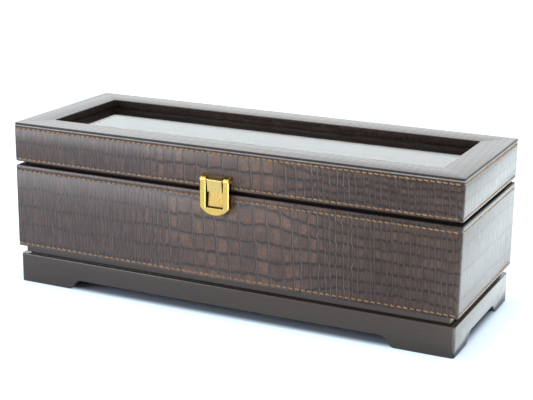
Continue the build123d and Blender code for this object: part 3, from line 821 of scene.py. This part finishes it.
plinth = rounded_block("plinth_shell", plinth_lo, plinth_hi, plinth_corner)
plinth_size = plinth_hi - plinth_lo
inward = Vector((plinth_wall, plinth_wall, -MM))
cut(plinth, block("inside_tool", plinth_lo + inward, plinth_hi - inward))
cut(plinth, arch_tool("front_arch_tool", plinth_size.x, front_foot, front_arch_run, 0))
cut(plinth, arch_tool("side_arch_tool", plinth_size.y, side_foot, side_arch_run, pi / 2))
soften(plinth, 0.7 * MM, 4)
smooth(plinth, 30)
dress(
    plinth, lacquer, "case", "dark_lacquer",
    "plinth_front_rail", "plinth_back_rail", "plinth_left_rail", "plinth_right_rail",
)

riser_lo, riser_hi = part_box("riser_board")
shadow_gap = Vector((0, 0, 1.2 * MM))
undercut = Vector((2 * MM, 2 * MM, 0))
riser = rounded_block("riser_moulding", riser_lo + shadow_gap, riser_hi, 0.8 * MM)
cut(riser, rounded_block("riser_foot", riser_lo + undercut, riser_hi - undercut, 0.5 * MM), "UNION")
soften(riser, 0.35 * MM, 2)
smooth(riser, 30)
dress(riser, lacquer, "case", "riser_paint", "riser_board")


# Velvet lining and dividers, wrapped boards with soft edges


def velvet_panel(node, body, round_by=0.7 * MM):
    """Board wrapped in velvet, the size of its node."""
    lo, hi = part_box(node)
    panel = block(node + "_velvet", lo, hi)
    soften(panel, round_by, 3)
    smooth(panel, 50)
    dress(panel, velvet, body, "velvet_lining", node)


for side in ("front", "back", "left", "right"):
    velvet_panel(f"liner_{side}", "case")
    velvet_panel(f"lid_liner_{side}", "lid")
velvet_panel("floor_lining", "case", 0.4 * MM)
for number in range(1, 6):
    velvet_panel(f"divider_{number}", "case", 1.1 * MM)


# Watch pillows

pillow_lo, pillow_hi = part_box("watch_pillow_1")
pillow_middle = (pillow_lo + pillow_hi) / 2
seam_setback = 7 * MM
seam_depth = 0.9 * MM
seam_half_width, pucker_reach = 2.2 * MM, 6 * MM
puckers_round = 26
flat_foot = 1.5 * MM


def stuff(piece, pressure, frames, reach):
    """Swell a piece as filled cloth and keep the result, with no point moved further than reach."""
    start = [vert.co.copy() for vert in piece.data.vertices]
    take(piece)
    modifier = piece.modifiers.new("cloth", "CLOTH")
    modifier.settings.quality = 6
    modifier.settings.use_pressure = True
    modifier.settings.uniform_pressure_force = pressure
    modifier.settings.effector_weights.gravity = 0
    modifier.point_cache.frame_start, modifier.point_cache.frame_end = 1, frames
    for number in range(1, frames + 1):
        bpy.context.scene.frame_set(number)
    bpy.ops.object.modifier_apply(modifier="cloth")
    bpy.context.scene.frame_set(1)
    for vert, place in zip(piece.data.vertices, start):
        moved = vert.co - place
        if moved.length > reach:
            vert.co = place + moved * (reach / moved.length)


def fill_box(piece, lo, hi, flat):
    """Flatten the foot of a piece and scale the rest to fill a box."""
    verts = piece.data.vertices
    low = [min(vert.co[axis] for vert in verts) for axis in range(3)]
    high = [max(vert.co[axis] for vert in verts) for axis in range(3)]
    low[2] += flat
    for vert in verts:
        for axis in range(3):
            share = max(vert.co[axis] - low[axis], 0) / (high[axis] - low[axis])
            vert.co[axis] = lo[axis] + share * (hi[axis] - lo[axis])


def sew(piece):
    """Draw the cover in along a seam round each end, with puckers."""
    for vert in piece.data.vertices:
        out = vert.co - pillow_middle
        from_seam = abs(abs(out.y) - (pillow_hi.y - pillow_middle.y - seam_setback))
        depth = cos(min(from_seam / seam_half_width, 1) * pi / 2) ** 2
        pucker = sin(atan2(out.z, out.x) * puckers_round) * max(1 - from_seam / pucker_reach, 0)
        drawn_in = Vector((-out.x, 0, -out.z)).normalized() * seam_depth
        if vert.co.z > pillow_lo.z + flat_foot:
            vert.co += drawn_in * (depth + 0.25 * pucker)


def stuffed_pillow():
    """Crowned pillow, swollen by a cloth simulation, with its seams."""
    shrink = Vector((4.5, 5, 3.5)) * MM
    piece = block("pillow", pillow_lo + shrink, pillow_hi - shrink)
    soften(piece, 6 * MM, 3)
    apply_modifier(piece, "REMESH", mode="VOXEL", voxel_size=3.5 * MM)
    stuff(piece, pressure=10, frames=30, reach=6 * MM)
    apply_modifier(piece, "SUBSURF", levels=1, render_levels=1)
    side_play, top_play = Vector((0.5, 0.5, 0)) * MM, Vector((0.5, 0.5, 0.3)) * MM
    fill_box(piece, pillow_lo + side_play, pillow_hi - top_play, flat_foot)
    sew(piece)
    smooth(piece, 70)
    return piece


pattern = stuffed_pillow()
for number in range(1, 7):
    node = f"watch_pillow_{number}"
    cushion = pattern.copy()
    cushion.data = pattern.data.copy()
    cushion.name = cushion.data.name = node + "_cushion"
    cushion.data.transform(Matrix.Translation(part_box(node)[0] - pillow_lo))
    bpy.context.scene.collection.objects.link(cushion)
    dress(cushion, suede, node, "pillow_fabric", node)
bpy.data.objects.remove(pattern)


# Carried-over nodes

finishes = {
    "lid_glass": glass,
    "glass_retainer": retainer_black,
    "plinth_corner_blocks": fibreboard,
    "case_floor_board": fibreboard,
}
for node in nodes:
    if node.startswith(("hinge_", "latch_")):
        finishes[node] = steel if node.endswith("screws") else brass
    elif node == "base_screws":
        finishes[node] = steel
    elif node.endswith(("_board", "_rail")) and node not in finishes:
        finishes[node] = fibreboard
finishes.update(latch_flap=flap_brass, latch_lid_plate=plate_brass, latch_catch_plate=catch_brass)
for node, material in finishes.items():
    nodes[node].data.materials.clear()
    nodes[node].data.materials.append(material)


# Floor, lamps and the white surroundings


def white_when_seen(tree, otherwise, strength_seen=1.0, mirrored=1.0):
    """Strength: seen by the camera and through glass, partly mirrored, and otherwise."""
    path = put(tree, "LightPath")
    seen = calc(tree, "MULTIPLY", path.outputs["Is Glossy Ray"], mirrored)
    for name in ("Is Camera Ray", "Is Transmission Ray"):
        seen = calc(tree, "MAXIMUM", seen, path.outputs[name])
    return calc(tree, "MULTIPLY_ADD", seen, strength_seen - otherwise, otherwise)


world = bpy.data.worlds.new("studio")
world.use_nodes = True
bpy.context.scene.world = world
surround = world.node_tree.nodes["Background"]
surround.inputs["Color"].default_value = (1, 1, 1, 1)
world.node_tree.links.new(white_when_seen(world.node_tree, 0.35), surround.inputs["Strength"])

leave_selection()
bpy.ops.mesh.primitive_plane_add(size=8, location=(0, 0, 0))
studio_floor = bpy.context.object
studio_floor.name = "studio_floor"
paper, paper_tree, paper_shader = start_finish("white paper")
paper_place = put(paper_tree, "SeparateXYZ", {0: object_place(paper_tree)})
# Close round the box the floor's glow fades out and turns blue: a painted shadow and blue fringe
# round the base.
shadow_inset = 12 * MM
squares = []
for axis, half in enumerate((box_length / 2 - shadow_inset, box_depth / 2 - shadow_inset)):
    along = calc(paper_tree, "SUBTRACT", paper_place.outputs[axis], box_middle[axis] / MM)
    beyond = calc(paper_tree, "SUBTRACT", calc(paper_tree, "ABSOLUTE", along), half / MM)
    squares.append(calc(paper_tree, "POWER", calc(paper_tree, "MAXIMUM", beyond, 0.0), 2.0))
away = calc(paper_tree, "SQRT", calc(paper_tree, "ADD", *squares))
glow_beyond_painted_shadow = ramp(paper_tree, away, 5.0, 14.0)
paper_shader.inputs["Base Color"].default_value = (0.5, 0.56, 0.66, 1)
paper_shader.inputs["Roughness"].default_value = 0.9
paper_shader.inputs["Specular IOR Level"].default_value = 0.0
glow_colour_painted_blue = tint(paper_tree, ramp(paper_tree, away, 8.0, 40.0), (0.7, 0.86, 1, 1), (1, 1, 1, 1))
paper_tree.links.new(glow_colour_painted_blue, paper_shader.inputs["Emission Color"])
glow = calc(paper_tree, "MULTIPLY", white_when_seen(paper_tree, 0.1, 0.8, 0.2), glow_beyond_painted_shadow)
paper_tree.links.new(glow, paper_shader.inputs["Emission Strength"])
studio_floor.data.materials.append(paper)


def soft_box(name, place, aim, width, height, radiance, colour=(1, 1, 1)):
    """Rectangular lamp of an even radiance, facing its aim and unseen by the camera."""
    lamp = bpy.data.objects.new(name, bpy.data.lights.new(name, "AREA"))
    lamp.data.shape = "RECTANGLE"
    lamp.data.size, lamp.data.size_y = width, height
    lamp.data.energy = radiance * pi * width * height
    lamp.data.color = colour
    lamp.location = place
    lamp.rotation_mode = "QUATERNION"
    lamp.rotation_quaternion = (Vector(aim) - Vector(place)).to_track_quat("-Z", "Y")
    lamp.visible_camera = False
    bpy.context.scene.collection.objects.link(lamp)


soft_box("back_box", (-0.75, 1.3, 0.5), (0, 0, 0.1), 2.2, 0.95, 0.64, (0.81, 0.95, 1))
soft_box("near_card", (0.178, 0.35, 0.002), (0.178, 0.35, 1), 0.03, 1.3, 1.35, (0.86, 0.98, 1))
soft_box("end_card", (0.693, 0.35, 0.002), (0.693, 0.35, 1), 1.0, 1.3, 2.65, (0.845, 0.98, 1))
soft_box("left_box", (-1.1, -0.95, 0.36), (-0.1, -0.06, 0.06), 1.2, 0.7, 4.9, (0.86, 0.92, 1))
soft_box("top_box", (0.05, -0.05, 1.2), (0.05, -0.05, 0), 0.9, 0.35, 9.0)

leave_selection()
